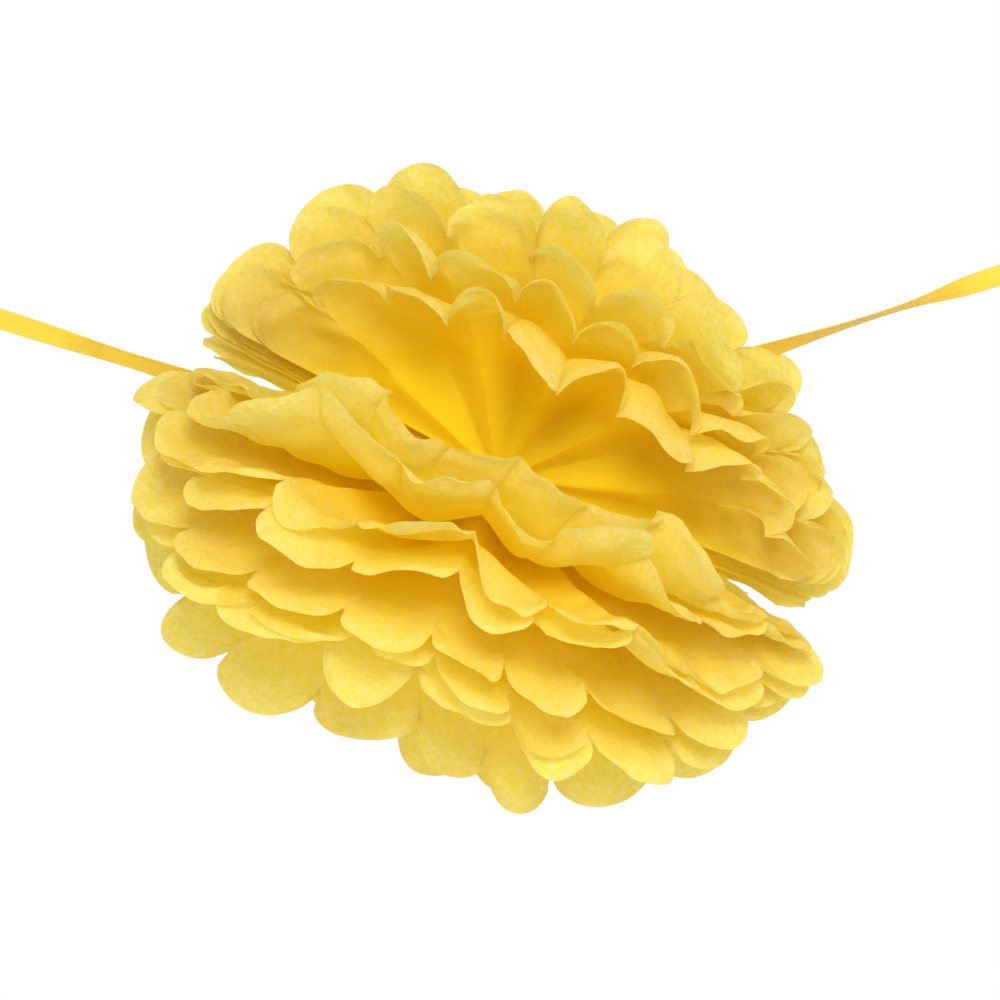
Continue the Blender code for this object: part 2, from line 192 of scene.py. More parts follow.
class PomPomTissue(bpy.types.PropertyGroup):
    """Sizes and colours of the tissue sheets."""

    columns: IntProperty(
        name="Columns",
        description="Columns of faces in each panel of a sheet",
        default=20,
        min=4,
    )
    rows: IntProperty(
        name="Rows",
        description="Rows of faces from the waist to the petal tips",
        default=44,
        min=8,
    )
    flutter: FloatProperty(
        name="Flutter",
        description="How far the paper waves out of its even pleats",
        default=0.0024,
        unit="LENGTH",
    )
    crumple: FloatProperty(
        name="Crumple",
        description="Depth of the small dents that handling leaves in the paper",
        default=0.0005,
        unit="LENGTH",
    )
    colour: StringProperty(
        name="Colour",
        description="The dyed paper by the light that it sends back, as an sRGB hex value",
        default="#DFCD5C",
    )
    glow: StringProperty(
        name="Glow",
        description="The dyed paper by the light that comes through it, as an sRGB hex value",
        default="#EDD840",
    )
    through: FloatProperty(
        name="Light through",
        description="Share of the light that passes through one sheet",
        default=0.6,
        subtype="FACTOR",
        min=0.0,
        max=1.0,
    )
    # Painted light: near the waist the paper's colour is painted brighter and more saturated than its
    # dye, for the light bounced between the close layers there.
    painted_depth_glow: StringProperty(
        name="Deep",
        description="The light between many close layers near the waist, as an sRGB hex value",
        default="#FFEC0A",
    )


class PomPomRibbon(bpy.types.PropertyGroup):
    """Sizes and colours of the ribbon, its windings and the waist wire."""

    width: FloatProperty(
        name="Width",
        description="Width of the flat ribbon",
        default=RIBBON_WIDTH,
        unit="LENGTH",
    )
    colour: StringProperty(
        name="Colour",
        description="The woven ribbon, as an sRGB hex value",
        default="#DEB614",
    )
    wire_colour: StringProperty(
        name="Wire colour",
        description="The coating of the waist wire, as an sRGB hex value",
        default="#DDB436",
    )
    turns: IntProperty(
        name="Turns",
        description="Turns of thread that bind each end loop",
        default=5,
        min=2,
    )


class PomPomStage(bpy.types.PropertyGroup):
    """Lamps, floor and background."""

    key_power: FloatProperty(
        name="Key power",
        description="Power of the lamp in front",
        default=36.0,
        unit="POWER",
    )
    fill_power: FloatProperty(
        name="Fill power",
        description="Power of each of the lamps at the side and at the back",
        default=9.0,
        unit="POWER",
    )
    world_strength: FloatProperty(
        name="World strength",
        description="Brightness of the even light all round",
        default=0.76,
    )
    floor_colour: StringProperty(
        name="Floor colour",
        description="The plain floor, as an sRGB hex value",
        default="#F4F4F2",
    )


def linear(hex_value):
    """An sRGB hex value as the linear colour that a shader takes."""
    found = []
    for at in (1, 3, 5):
        share = int(hex_value[at : at + 2], 16) / 255
        found.append(share / 12.92 if share <= 0.04045 else ((share + 0.055) / 1.055) ** 2.4)
    return (*found, 1.0)


def node(tree, kind, links=(), **settings):
    """Adds a node, sets its properties and inputs by name, and links what its inputs read."""
    made = tree.nodes.new(kind)
    for name, value in settings.items():
        if hasattr(made, name):
            setattr(made, name, value)
        else:
            made.inputs[name.replace("_", " ")].default_value = value
    for name, source in dict(links).items():
        tree.links.new(source, made.inputs[name])
    return made


def new_material(name):
    """An empty material and its tree, for a maker to fill."""
    made = bpy.data.materials.new(name)
    made.use_nodes = True
    made.node_tree.nodes.clear()
    return made, made.node_tree


def towards(colour, other, share):
    """An opaque colour moved towards another one by a share."""
    return tuple((1 - share) * c + share * o for c, o in zip(colour[:3], other[:3])) + (1.0,)


def times(colour, share):
    """An opaque colour times a share, at most white."""
    return tuple(min(1.0, share * c) for c in colour[:3]) + (1.0,)


def dyed_tissue(settings):
    """Tissue paper, dyed in the pulp and glazed on one side: thin, matt and full of light.

    Light that comes through one layer is pale and each further layer deepens it. Near the waist the
    colour is also painted brighter and more saturated, as painted light for the light that bounces
    between the close layers, so the rims look pale and the heart of the pom pom strongly coloured.
    Short fibres lie in clouds, and handling leaves dents.
    """
    made, tree = new_material("dyed_tissue_paper")
    place = node(tree, "ShaderNodeTexCoord")
    # Fibre clouds are about 2 mm across, and dents 9 mm. Single fibres, near 0.1 mm, are drawn at
    # 0.7 mm.
    patterns = []
    for scale, detail, roughness in ((420.0, 3.0, 0.62), (1500.0, 2.0, 0.7), (110.0, 2.0, 0.5)):
        pattern = node(
            tree,
            "ShaderNodeTexNoise",
            {"Vector": place.outputs["Object"]},
            Scale=scale,
            Detail=detail,
            Roughness=roughness,
        )
        patterns.append(pattern.outputs["Fac"])
    clouds, fibres, dents = patterns
    density = node(tree, "ShaderNodeMath", {0: clouds, 1: fibres}, operation="ADD")
    share = node(
        tree, "ShaderNodeMapRange", {"Value": density.outputs[0]}, From_Min=0.82, From_Max=1.18
    )
    # V runs from the waist to the petal tips. Near the waist many layers lie close together, and there
    # the colour is painted brighter and more saturated: painted light for the light bounced between
    # them.
    flat = node(tree, "ShaderNodeUVMap", uv_map="flat_sheet")
    split = node(tree, "ShaderNodeSeparateXYZ", {"Vector": flat.outputs["UV"]})
    outward = node(
        tree, "ShaderNodeMapRange", {"Value": split.outputs["Y"]}, From_Min=0.055, From_Max=0.124
    )
    front, glow, painted_depth_glow = linear(settings.colour), linear(settings.glow), linear(settings.painted_depth_glow)
    # The light that one sheet sends back, and then the light that it lets through.
    tones = []
    for light, near in ((front, towards(painted_depth_glow, front, 0.15)), (glow, painted_depth_glow)):
        far = node(
            tree,
            "ShaderNodeMix",
            {"Factor": share.outputs["Result"]},
            data_type="RGBA",
            blend_type="MIX",
        )
        far.inputs[6].default_value = towards(light, WHITE, 0.22)
        far.inputs[7].default_value = light
        tone = node(
            tree,
            "ShaderNodeMix",
            {"Factor": outward.outputs["Result"], 7: far.outputs[2]},
            data_type="RGBA",
            blend_type="MIX",
        )
        # Near the waist the tone is painted light: brighter and more saturated, for the light bounced
        # between close layers.
        tone.inputs[6].default_value = near
        tones.append(tone.outputs[2])
    height = node(
        tree, "ShaderNodeMath", {0: dents, 1: clouds, 2: clouds}, operation="MULTIPLY_ADD"
    )
    bump = node(
        tree, "ShaderNodeBump", {"Height": height.outputs[0]}, Strength=0.35, Distance=0.0006
    )
    paper = node(
        tree,
        "ShaderNodeBsdfPrincipled",
        {"Base Color": tones[0], "Normal": bump.outputs["Normal"]},
        Roughness=0.78,
        Specular_IOR_Level=0.25,
    )
    through = node(
        tree,
        "ShaderNodeBsdfTranslucent",
        {"Color": tones[1], "Normal": bump.outputs["Normal"]},
    )
    both = node(
        tree,
        "ShaderNodeMixShader",
        {1: paper.outputs["BSDF"], 2: through.outputs["BSDF"]},
        Fac=settings.through,
    )
    node(tree, "ShaderNodeOutputMaterial", {"Surface": both.outputs["Shader"]})
    return made


def woven_ribbon(name, colour):
    """Narrow woven ribbon: fine threads run along and across it, darker where the weave is low as
    painted shade, and a little uneven in tone.
    """
    made, tree = new_material(name)
    flat = node(tree, "ShaderNodeUVMap", uv_map="along")
    # U runs across and V along, in metres. Real threads are 0.2 mm apart, and are drawn at 0.4 mm.
    threads = []
    for way, scale, detail in (("X", 900.0, 2.0), ("Y", 760.0, 1.0)):
        bands = node(
            tree,
            "ShaderNodeTexWave",
            {"Vector": flat.outputs["UV"]},
            wave_type="BANDS",
            bands_direction=way,
            Scale=scale,
            Distortion=0.6,
            Detail=detail,
        )
        threads.append(bands.outputs["Fac"])
    warp, weft = threads
    place = node(tree, "ShaderNodeTexCoord")
    shade = node(
        tree, "ShaderNodeTexNoise", {"Vector": place.outputs["Object"]}, Scale=55.0, Detail=2.0
    )
    weave = node(tree, "ShaderNodeMath", {0: warp, 1: weft}, operation="MULTIPLY")
    tone = node(
        tree, "ShaderNodeMath", {0: weave.outputs[0], 1: shade.outputs["Fac"]}, operation="ADD"
    )
    share = node(tree, "ShaderNodeMapRange", {"Value": tone.outputs[0]}, From_Min=0.25, From_Max=1.35)
    light = linear(colour)
    mixed = node(
        tree, "ShaderNodeMix", {"Factor": share.outputs["Result"]}, data_type="RGBA", blend_type="MIX"
    )
    # Where the weave is low the colour is painted darker, and where it is high lighter: painted shade
    # and light on the threads. The noise adds a random unevenness in tone.
    mixed.inputs[6].default_value = times(light, 0.72)
    mixed.inputs[7].default_value = times(light, 1.12)
    bump = node(tree, "ShaderNodeBump", {"Height": weave.outputs[0]}, Strength=0.5, Distance=0.0002)
    cloth = node(
        tree,
        "ShaderNodeBsdfPrincipled",
        {"Base Color": mixed.outputs[2], "Normal": bump.outputs["Normal"]},
        Roughness=0.48,
        Sheen_Weight=0.1,
    )
    node(tree, "ShaderNodeOutputMaterial", {"Surface": cloth.outputs["BSDF"]})
    return made


def spun_thread(name, colour):
    """Spun sewing thread: two plies twisted together, matt with short hairs."""
    made, tree = new_material(name)
    place = node(tree, "ShaderNodeTexCoord")
    # The plies turn once in about 0.4 mm.
    plies = node(
        tree,
        "ShaderNodeTexWave",
        {"Vector": place.outputs["Object"]},
        wave_type="BANDS",
        bands_direction="DIAGONAL",
        Scale=800.0,
        Distortion=1.0,
    )
    light = linear(colour)
    mixed = node(
        tree, "ShaderNodeMix", {"Factor": plies.outputs["Fac"]}, data_type="RGBA", blend_type="MIX"
    )
    # The grooves between the plies are painted darker: painted shade where the bump is low.
    mixed.inputs[6].default_value = times(light, 0.6)
    mixed.inputs[7].default_value = light
    bump = node(tree, "ShaderNodeBump", {"Height": plies.outputs["Fac"]}, Strength=0.6, Distance=0.0002)
    thread = node(
        tree,
        "ShaderNodeBsdfPrincipled",
        {"Base Color": mixed.outputs[2], "Normal": bump.outputs["Normal"]},
        Roughness=0.7,
        Sheen_Weight=0.3,
    )
    node(tree, "ShaderNodeOutputMaterial", {"Surface": thread.outputs["BSDF"]})
    return made


def coated_wire(name, colour):
    """Florist's wire in a thin baked coating: smooth, a little uneven, with a soft shine."""
    made, tree = new_material(name)
    place = node(tree, "ShaderNodeTexCoord")
    # The coating is uneven over about 1.4 mm.
    coat = node(
        tree, "ShaderNodeTexNoise", {"Vector": place.outputs["Object"]}, Scale=700.0, Detail=2.0
    )
    light = linear(colour)
    mixed = node(
        tree, "ShaderNodeMix", {"Factor": coat.outputs["Fac"]}, data_type="RGBA", blend_type="MIX"
    )
    mixed.inputs[6].default_value = times(light, 0.75)
    mixed.inputs[7].default_value = light
    bump = node(tree, "ShaderNodeBump", {"Height": coat.outputs["Fac"]}, Strength=0.3, Distance=0.0001)
    wire = node(
        tree,
        "ShaderNodeBsdfPrincipled",
        {"Base Color": mixed.outputs[2], "Normal": bump.outputs["Normal"]},
        Roughness=0.38,
    )
    node(tree, "ShaderNodeOutputMaterial", {"Surface": wire.outputs["BSDF"]})
    return made


def axis_frame():
    """The turn from the pom pom's own frame, whose Z is its axis, to the hanging one."""
    lean = math.radians(AXIS_LEAN)
    roll = math.radians(AXIS_ROLL)
    along = Vector((math.cos(roll), 0.0, -math.sin(roll)))
    across = Vector((math.sin(roll), 0.0, math.cos(roll)))
    front = Vector((0.0, -1.0, 0.0))
    back = math.sin(lean) * across - math.cos(lean) * front
    axis = math.cos(lean) * across + math.sin(lean) * front
    return Matrix((along, back, axis)).transposed()


TURN = axis_frame()


def petal_values(low, high, salt):
    """One value for each petal of each half of each sheet, the same ones every time."""
    draw = random.Random(SEED + salt)
    count = 2 * SHEETS * PANELS
    return np.array([draw.uniform(low, high) for _ in range(count)]).reshape(2, SHEETS, PANELS)


def petal_edges(widths):
    """Each petal's two edges, as angles from the right side."""
    edges = np.cumsum(np.insert(widths, 0, 0.0, axis=-1), axis=-1)
    return SLIT + edges / edges[..., -1:] * (math.pi - 2 * SLIT)


LIFT = petal_values(-LIFT_SPREAD, LIFT_SPREAD, 1)
REACH = petal_values(0.94, 1.03, 2)
WIDTH = petal_values(1 - WIDTH_SPREAD, 1 + WIDTH_SPREAD, 3)
CURL = petal_values(-CURL_SPREAD, CURL_SPREAD, 4)
# Where each petal's tip leans along the rim, in petals.
OWN_LEAN = petal_values(-0.08, 0.08, 6)
# The folds that all sheets share at the waist, and each sheet's own ones at its petal tips.
FOLDS = petal_edges(WIDTH[:, 0])
EDGES = petal_edges(WIDTH[:, :1] * petal_values(1 - OWN_WIDTH, 1 + OWN_WIDTH, 5))
PLACES = np.arange(PANELS + 1)


def fold_angle(half, sheet, place, s):
    """The angle, from the right side, of a place counted in petals along a sheet's half."""
    shared = np.interp(place, PLACES, FOLDS[half])
    return shared + (np.interp(place, PLACES, EDGES[half, sheet]) - shared) * s**2


def between_petals(values, place):
    """Values at a place, counted in petals, smooth from each petal's middle to the next."""
    at = np.clip(place - 0.5, 0.0, PANELS - 1.0)
    first = np.minimum(np.floor(at).astype(int), PANELS - 2)
    part = at - first
    part = part * part * (3 - 2 * part)
    return values[first] * (1 - part) + values[first + 1] * part


def zigzag(turns):
    """From -1 to 1 and back, once for every two folds, with softened folds."""
    wave = 1 - 2 * np.abs(turns % 2.0 - 1)
    return np.sin(wave * np.pi / 2) * 0.35 + wave * 0.65


def waves(x, y, length, salt):
    """A smooth, seeded, patternless height between about -1 and 1, with waves of one length."""
    draw = random.Random(SEED + salt)
    found = np.zeros_like(x)
    count = 14
    for _ in range(count):
        way, start = draw.uniform(0, 2 * math.pi), draw.uniform(0, 2 * math.pi)
        pace = 2 * math.pi / (length * draw.uniform(0.7, 1.5))
        found += np.sin(pace * (x * math.cos(way) + y * math.sin(way)) + start)
    return found / math.sqrt(count)


def through_stops(rows, angle):
    """Values at an angle on smooth curves through rows of stops that are 45 degrees apart."""
    stops = np.pad(rows, ((0, 0), (1, 1)), mode="edge")
    at = np.clip(angle / np.pi * 4, 0, 4 - 1e-9)
    first = np.floor(at).astype(int)
    f = at - first
    a, b, c, d = (stops[:, first + step] for step in range(4))
    return b + 0.5 * f * (c - a + f * (2 * a - 5 * b + 4 * c - d + f * (3 * (b - c) + d - a)))


def full_reach(half, angle):
    """How far the paper that runs out at an angle from the right side reaches from the waist."""
    return through_stops(REACHES[half : half + 1], angle)[0]


def reach_at(half, sheet, place, angle, s):
    """Distance from the waist at share s of the way out to a sheet's petal tips."""
    lobe = 1 - np.sqrt(np.clip(1 - (2 * (place % 1.0) - 1) ** 2, 0, 1))
    tips = SHEET_REACH[sheet] * between_petals(REACH[half, sheet], place)
    tips = 1 + (tips - 1) * s**3
    return full_reach(half, angle) * s * tips - PETAL_NOTCH * lobe * s**5


def lifts(half, angle, s, flutter=0.0):
    """The lift of every sheet above the waist plane, in radians, and that of the ribbon."""
    x, y = s * np.cos(angle), s * np.sin(angle)
    s = np.maximum(s, STRAIGHT_SHARE)
    out = full_reach(half, angle) * s
    arm = out * np.maximum(np.sin(angle), SIDE_SINE)
    grown = ROOT_RISE + (1 - ROOT_RISE) * s**RISE_POWER
    plain = np.radians(through_stops(LIFTS[half], angle)) * grown
    shared = np.interp(angle, FOLDS[half], PLACES)
    inner = INNER_PLEAT * np.sin(np.pi * np.clip(s / 0.8, 0, 1)) / arm * zigzag(shared)
    middle = (plain[UPPER - 1] + plain[UPPER]) / 2 + inner
    own = []
    for sheet in range(SHEETS):
        place = shared + (np.interp(angle, EDGES[half, sheet], PLACES) - shared) * s**2
        outer = OUTER_PLEAT * s**2 / arm * zigzag(place)
        cup = PETAL_CUP * s**2 / arm * (1 - (2 * (place % 1.0) - 1) ** 2)
        lift = np.radians(between_petals(LIFT[half, sheet], place)) * s**2
        curl = TIP_CURL[sheet] + between_petals(CURL[half, sheet], place)
        curl = np.radians(curl) * np.clip((s - 0.6) / 0.4, 0, 1) ** 2
        height = plain[sheet] + inner + outer - cup + lift + curl
        if flutter:
            salt = 20 + sheet + 50 * half
            long, short = FLUTTER_WAVES
            wave = waves(x, y, long, salt) + 0.45 * waves(x, y, short, salt + 20)
            height += flutter / arm * wave * s**2
        own.append(height)
    room = RIBBON_ROOM / arm
    nest = NEST_GAP / arm
    own[UPPER] = np.maximum(own[UPPER], middle + room)
    own[UPPER - 1] = np.minimum(own[UPPER - 1], middle - room)
    for upper in range(UPPER + 1, SHEETS):
        own[upper] = np.maximum(own[upper], own[upper - 1] + nest)
    for lower in range(UPPER - 2, -1, -1):
        own[lower] = np.minimum(own[lower], own[lower + 1] - nest)
    return own, middle


def waist_edge(sheet):
    """A sheet's middle where it leaves the waist band: its distance from the axis, and its height.

    The band is narrowest on the end sheets, which rise most steeply from it.
    """
    from_middle = sheet - UPPER + 0.5
    depth = WAIST_DEPTH / 2 + WAIST_SPLAY * (UPPER - 0.5 - abs(from_middle))
    height = RIBBON_SLOT / 2 + (abs(from_middle) - 0.5) * SHEET_PITCH
    return depth, math.copysign(height, from_middle)


def spread_point(half, angle, out, lift, edge, proud):
    """Points at a distance out from the waist, in the pom pom's frame, proud square to the paper.

    The angle runs from the right side round to the left, in the half's own plane.
    """
    side = 1 if half == BACK else -1
    turned = np.where(out > 0, lift, 0.0)
    x = WAIST_WIDTH / 2 * (1 - 2 * angle / np.pi) + out * np.cos(angle)
    arm = out * np.sin(angle)
    y = side * (edge[0] + arm * np.cos(lift) - proud * np.sin(turned))
    z = edge[1] + arm * np.sin(lift) + proud * np.cos(turned)
    return np.stack([x, y, z], axis=-1)


def grid_mesh(name, points, flat):
    """A mesh of quads through a grid of points, with each point's place on the flat sheet."""
    rows, columns = points.shape[:2]
    at = np.arange(rows * columns).reshape(rows, columns)
    faces = np.stack([at[:-1, :-1], at[:-1, 1:], at[1:, 1:], at[1:, :-1]], axis=-1).reshape(-1, 4)
    mesh = bpy.data.meshes.new(name)
    mesh.from_pydata(points.reshape(-1, 3).tolist(), [], faces.tolist())
    corners = np.zeros(len(mesh.loops), np.int32)
    mesh.loops.foreach_get("vertex_index", corners)
    mesh.uv_layers.new(name="flat_sheet").data.foreach_set(
        "uv", flat.reshape(-1, 2)[corners].astype(np.float32).ravel()
    )
    mesh.shade_smooth()
    # The folds stay crisp.
    mesh.set_sharp_from_angle(angle=math.radians(CREASE_ANGLE))
    return mesh


def fine_sheet(sheet, settings):
    """One tissue sheet as a single layer: its front half, the band at the waist, its back half."""
    across = np.linspace(0, PANELS, PANELS * settings.columns + 1)
    shares = np.linspace(0, 1, settings.rows + 1) ** 0.8
    place, s = np.meshgrid(across, shares)
    halves = []
    for half in (FRONT, BACK):
        # The tips lean along the rim by a share of a petal.
        lean = between_petals(OWN_LEAN[half, sheet], place) * s**3 * np.sin(np.pi * (place % 1.0))
        angle = fold_angle(half, sheet, place + lean, s)
        lift = lifts(half, angle.ravel(), s.ravel(), settings.flutter)[0][sheet].reshape(s.shape)
        out = reach_at(half, sheet, place, angle, s)
        x, y = out * np.cos(angle), out * np.sin(angle)
        salt = 90 + sheet + 50 * half
        dents = waves(x, y, DENT_WAVE, salt) * settings.crumple * np.clip(2.2 * s - 0.5, 0, 1)
        # The cut edge of each petal waves a little.
        edge = waves(x, y, EDGE_WAVE, salt + 20) * settings.crumple * np.clip(s * 8 - 7, 0, 1)
        points = spread_point(half, angle, out, lift, waist_edge(sheet), dents + edge)
        flat = np.stack([place * MAP_PETAL, s * MAP_REACH], axis=-1)
        halves.append((points, flat))
    points = np.concatenate([halves[0][0][::-1], halves[1][0]])
    flat = np.concatenate([halves[0][1][::-1], halves[1][1]])
    turned = points @ np.array(TURN).T
    return grid_mesh(f"paper_sheet_{sheet + 1:02d}", turned, flat)


def ribbon_inside(half, way, share):
    """A point of the ribbon's middle line between the two middle sheets, and its width axis."""
    near = np.radians(way + np.array([-2.0, 0.0, 2.0]))
    middle = lifts(half, near, np.full(3, share))[1]
    edge = waist_edge(UPPER)[0], -RIBBON_DIP * max(0.0, 1 - share / 0.2)
    row = spread_point(half, near, full_reach(half, near) * share, middle, edge, np.zeros(3))
    points = [TURN @ Vector(co) for co in row]
    return points[1], (points[2] - points[0]).normalized()


def smooth_route(stops, steps):
    """Points on a smooth curve through the stops, each a point, a width axis and a width."""
    rows = np.array([(*point, *axis, width) for point, axis, width in stops])
    ends = np.vstack([2 * rows[0] - rows[1], rows, 2 * rows[-1] - rows[-2]])
    found = []
    for first in range(len(rows) - 1):
        a, b, c, d = ends[first : first + 4]
        for step in range(steps):
            f = step / steps
            found.append(
                b + 0.5 * f * (c - a + f * (2 * a - 5 * b + 4 * c - d + f * (3 * (b - c) + d - a)))
            )
    found.append(rows[-1])
    return [(Vector(r[:3]), Vector(r[3:6]).normalized(), float(r[6])) for r in found]


def end_loop(end, outward, upright):
    """The stops of a loop beyond a ribbon end, from the free tip round to the ribbon itself."""
    side = outward.cross(upright).normalized()
    apart = RIBBON_THICK + SHEET_GAP
    seam = SEAM_LENGTH / 2
    shape = [
        (-seam, apart),
        (seam, apart),
        (0.40 * LOOP_LENGTH + seam, apart + 0.34 * LOOP_WIDTH),
        (0.72 * LOOP_LENGTH + seam, apart + 0.46 * LOOP_WIDTH),
        (0.93 * LOOP_LENGTH + seam, apart + 0.26 * LOOP_WIDTH),
        (LOOP_LENGTH + seam, 0.0),
        (0.93 * LOOP_LENGTH + seam, -0.26 * LOOP_WIDTH),
        (0.72 * LOOP_LENGTH + seam, -0.46 * LOOP_WIDTH),
        (0.40 * LOOP_LENGTH + seam, -0.34 * LOOP_WIDTH),
        (seam, 0.0),
    ]
    return [(end + out * outward + off * side, upright, RIBBON_WIDTH) for out, off in shape]


def ribbon_stops():
    """The ribbon's whole route, from the left loop through the pom pom to the right loop."""
    left_edge = ribbon_inside(FRONT, LEFT_WAY, 0.62)[0]
    right_edge = ribbon_inside(BACK, RIGHT_WAY, 0.62)[0]
    left_out = (LEFT_END - left_edge).normalized()
    right_out = (RIGHT_END - right_edge).normalized()
    front = Vector((0.0, -1.0, 0.0))
    left_up = front.cross(left_out).normalized() * -1
    right_up = front.cross(right_out).normalized()
    stops = end_loop(LEFT_END, left_out, left_up)
    stops.append((LEFT_END - 0.02 * left_out, left_up, RIBBON_WIDTH))
    halfway = LEFT_END.lerp(left_edge, 0.55)
    stops.append((halfway, (left_up + 0.9 * front).normalized(), RIBBON_WIDTH))
    for share, width in ((0.62, 1.0), (0.48, 1.0), (0.34, 0.9), (0.21, 0.6), (0.13, 0.4)):
        point, axis = ribbon_inside(FRONT, LEFT_WAY, share)
        if axis.dot(left_up) < 0:
            axis.negate()
        stops.append((point, axis, max(RIBBON_WAIST, width * RIBBON_WIDTH)))
    legs = WAIST_WIDTH / 2 + WIRE_GAP + WIRE_RADIUS
    beside = RIBBON_WAIST / 2 + WIRE_GAP + WIRE_RADIUS + 0.0001
    across = TURN @ Vector((0.0, 1.0, 0.0))
    if across.dot(left_up) < 0:
        across.negate()
    stops.append((TURN @ Vector((-legs, -beside, 0.0)), across, RIBBON_WAIST))
    stops.append((Vector(), across, RIBBON_WAIST))
    inner = ((0.06, 0.36), (0.14, 0.5), (0.24, 0.75), (0.36, 1.0), (0.49, 1.0), (0.62, 1.0))
    for share, width in inner:
        point, axis = ribbon_inside(BACK, RIGHT_WAY, share)
        if axis.dot(right_up) < 0:
            axis.negate()
        stops.append((point, axis, max(RIBBON_WAIST, width * RIBBON_WIDTH)))
    halfway = RIGHT_END.lerp(right_edge, 0.45)
    stops.append((halfway, (0.25 * right_up + front).normalized(), RIBBON_WIDTH))
    stops.append((RIGHT_END - 0.02 * right_out, right_up, RIBBON_WIDTH))
    stops += reversed(end_loop(RIGHT_END, right_out, right_up))
    rings = [(LEFT_END, left_out, left_up), (RIGHT_END, right_out, right_up)]
    return stops, rings


def ribbon_profile():
    """Points round the ribbon's section, as shares of its half width and half thickness.

    The ribbon has a slightly thicker woven edge on each side.
    """
    across = [-1.0, -0.94, -0.86, -0.5, 0.0, 0.5, 0.86, 0.94, 1.0]
    thick = [0.5, 1.0, 0.72, 0.72, 0.72, 0.72, 0.72, 1.0, 0.5]
    top = list(zip(across, thick))
    return top + [(a, -t) for a, t in reversed(top)]


def ribbon_mesh(route):
    """A woven flat ribbon along the route, closed all round, with a map in metres."""
    profile = ribbon_profile()
    count = len(profile)
    points, travelled, length = [], [0.0], 0.0
    for at, (point, axis, width) in enumerate(route):
        before = route[max(at - 1, 0)][0]
        after = route[min(at + 1, len(route) - 1)][0]
        forward = (after - before).normalized()
        wide = (axis - axis.dot(forward) * forward).normalized()
        thin = forward.cross(wide)
        for a, t in profile:
            points.append(point + a * width / 2 * wide + t * RIBBON_THICK / 2 * thin)
        if at:
            length += (point - before).length
            travelled.append(length)
    faces, maps = [], []
    for ring in range(len(route) - 1):
        for side in range(count):
            other = (side + 1) % count
            faces.append(
                (
                    ring * count + side,
                    ring * count + other,
                    (ring + 1) * count + other,
                    (ring + 1) * count + side,
                )
            )
            u = [profile[side][0] * RIBBON_WIDTH / 2, profile[other][0] * RIBBON_WIDTH / 2]
            v = travelled[ring], travelled[ring + 1]
            maps += [(u[0], v[0]), (u[1], v[0]), (u[1], v[1]), (u[0], v[1])]
    faces.append(tuple(range(count)))
    faces.append(tuple(reversed(range((len(route) - 1) * count, len(route) * count))))
    maps += [(a * RIBBON_WIDTH / 2, 0.0) for a, _ in profile]
    maps += [(a * RIBBON_WIDTH / 2, length) for a, _ in reversed(profile)]
    mesh = bpy.data.meshes.new("satin_ribbon")
    mesh.from_pydata([tuple(co) for co in points], [], faces)
    mesh.uv_layers.new(name="along").data.foreach_set("uv", np.array(maps, np.float32).ravel())
    bm = bmesh.new()
    bm.from_mesh(mesh)
    bmesh.ops.recalc_face_normals(bm, faces=bm.faces[:])
    bm.to_mesh(mesh)
    bm.free()
    mesh.shade_smooth()
    return mesh, length


def winding_tree():
    """Geometry nodes that sweep a round section along the object's own line of points."""
    tree = bpy.data.node_groups.new("wound_strand", "GeometryNodeTree")
    tree.interface.new_socket("Geometry", in_out="INPUT", socket_type="NodeSocketGeometry")
    tree.interface.new_socket("Radius", in_out="INPUT", socket_type="NodeSocketFloat")
    tree.interface.new_socket("Sides", in_out="INPUT", socket_type="NodeSocketInt")
    tree.interface.new_socket("Step", in_out="INPUT", socket_type="NodeSocketFloat")
    tree.interface.new_socket("Material", in_out="INPUT", socket_type="NodeSocketMaterial")
    tree.interface.new_socket("Geometry", in_out="OUTPUT", socket_type="NodeSocketGeometry")
    given = node(tree, "NodeGroupInput")
    line = node(tree, "GeometryNodeMeshToCurve", {"Mesh": given.outputs["Geometry"]})
    even = node(
        tree,
        "GeometryNodeResampleCurve",
        {"Curve": line.outputs["Curve"], "Length": given.outputs["Step"]},
        mode="LENGTH",
    )
    section = node(
        tree,
        "GeometryNodeCurvePrimitiveCircle",
        {"Resolution": given.outputs["Sides"], "Radius": given.outputs["Radius"]},
    )
    swept = node(
        tree,
        "GeometryNodeCurveToMesh",
        {"Curve": even.outputs["Curve"], "Profile Curve": section.outputs["Curve"]},
    )
    swept.inputs["Fill Caps"].default_value = True
    real = node(tree, "GeometryNodeRealizeInstances", {"Geometry": swept.outputs["Mesh"]})
    smooth = node(tree, "GeometryNodeSetShadeSmooth", {"Geometry": real.outputs["Geometry"]})
    finish = node(
        tree,
        "GeometryNodeSetMaterial",
        {"Geometry": smooth.outputs["Geometry"], "Material": given.outputs["Material"]},
    )
    node(tree, "NodeGroupOutput", {"Geometry": finish.outputs["Geometry"]})
    return tree


def wound(name, points, radius, finish, sides=10):
    """A plain mesh of a strand wound along points, made by the winding tree."""
    line = bpy.data.meshes.new(name + "_line")
    line.from_pydata([tuple(p) for p in points], [(k, k + 1) for k in range(len(points) - 1)], [])
    carrier = bpy.data.objects.new(name + "_line", line)
    bpy.context.scene.collection.objects.link(carrier)
    tree = bpy.data.node_groups.get("wound_strand") or winding_tree()
    wraps = carrier.modifiers.new("Winding", "NODES")
    wraps.node_group = tree
    values = {"Radius": radius, "Sides": sides, "Step": 1.2 * radius, "Material": finish}
    for item in tree.interface.items_tree:
        if item.in_out == "INPUT" and item.name in values:
            wraps[item.identifier] = values[item.name]
    depsgraph = bpy.context.evaluated_depsgraph_get()
    mesh = bpy.data.meshes.new_from_object(carrier.evaluated_get(depsgraph), depsgraph=depsgraph)
    mesh.name = name
    bpy.data.objects.remove(carrier)
    bpy.data.meshes.remove(line)
    made = bpy.data.objects.new(name, mesh)
    bpy.context.scene.collection.objects.link(made)
    return made


